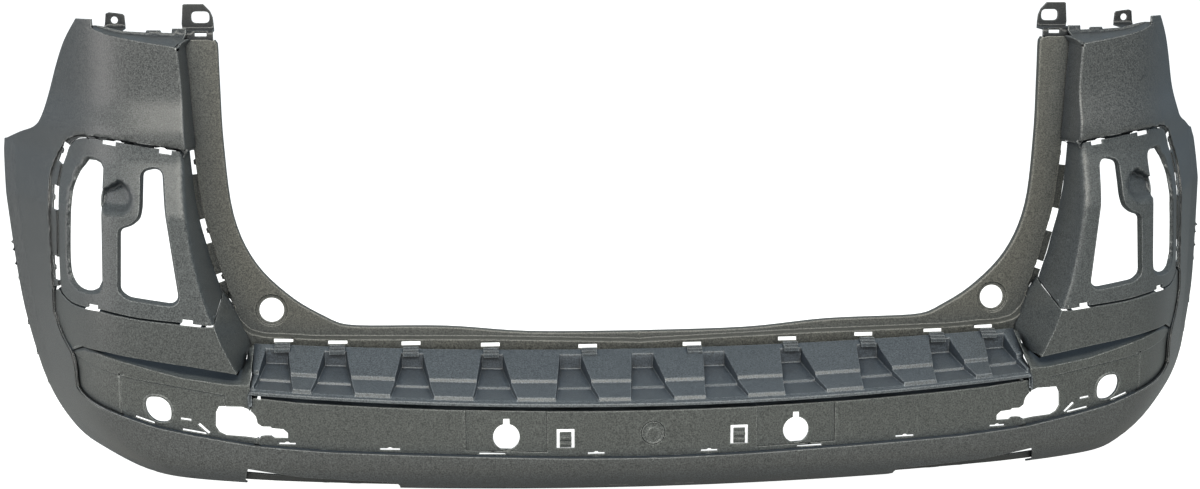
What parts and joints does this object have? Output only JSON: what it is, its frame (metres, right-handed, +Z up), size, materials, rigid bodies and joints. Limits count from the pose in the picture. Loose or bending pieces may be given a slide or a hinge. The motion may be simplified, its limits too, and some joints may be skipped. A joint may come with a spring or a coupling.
{
  "type": "rear bumper cover",
  "caption": "Wide wrap-around rear bumper cover with lamp pockets, a stepped deck, corner openings and a lower skirt, in grained plastic.",
  "frame": {"origin": "on the car's centre line, halfway along the cover's depth, level with its lowest edge", "axes": "+X to the right as seen from behind the car, +Y towards the front of the car, +Z up"},
  "size_m": [1.852, 0.464, 0.6495],
  "materials": {
    "cover_plastic": "fine-grained satin moulded plastic, unpainted",
    "frame_plastic": "fine-grained satin moulded plastic, unpainted",
    "lamp_plastic": "fine-grained satin moulded plastic, unpainted",
    "band_plastic": "fine-grained satin moulded plastic, unpainted",
    "panel_plastic": "fine-grained satin moulded plastic, unpainted",
    "deck_plastic": "fine-grained satin moulded plastic, unpainted",
    "insert_plastic": "dark matt plastic",
    "clip_plastic": "smooth satin plastic",
    "bracket_plastic": "smooth black plastic"
  },
  "bodies": {
    "cover": {"cover_skin": "cover_plastic", "tailgate_frame": "frame_plastic", "step_deck": "deck_plastic", "centre_panel": "panel_plastic", "centre_disc": "panel_plastic", "left_lamp_pocket": "lamp_plastic", "left_corner_band": "band_plastic", "left_corner_panel": "panel_plastic", "left_sensor_plate": "panel_plastic", "left_lower_insert": "insert_plastic", "left_keyhole_plate": "panel_plastic", "left_top_bracket": "bracket_plastic", "left_screw_tab": "bracket_plastic", "right_lamp_pocket": "lamp_plastic", "right_corner_band": "band_plastic", "right_corner_panel": "panel_plastic", "right_sensor_plate": "panel_plastic", "right_lower_insert": "insert_plastic", "right_keyhole_plate": "panel_plastic", "right_top_bracket": "bracket_plastic", "right_screw_tab": "bracket_plastic", "sill_clip_1": "clip_plastic", "sill_clip_2": "clip_plastic", "sill_clip_3": "clip_plastic", "sill_clip_4": "clip_plastic", "sill_clip_5": "clip_plastic", "sill_clip_6": "clip_plastic", "sill_clip_7": "clip_plastic", "sill_clip_8": "clip_plastic", "sill_clip_9": "clip_plastic", "sill_clip_10": "clip_plastic"},
    "left_latch": {"left_latch_tongue": "panel_plastic"},
    "right_latch": {"right_latch_tongue": "panel_plastic"}
  },
  "joints": [
    {"name": "left_latch_flex", "type": "hinge", "parent": "cover", "child": "left_latch", "pos_m": [-0.11675, -0.22125, 0.0685], "axis": [1, 0, 0], "range_deg": [-8, 3], "stiffness_Nm_per_rad": 0.6},
    {"name": "right_latch_flex", "type": "hinge", "parent": "cover", "child": "right_latch", "pos_m": [0.11675, -0.22125, 0.0685], "axis": [1, 0, 0], "range_deg": [-8, 3], "stiffness_Nm_per_rad": 0.6}
  ]
}
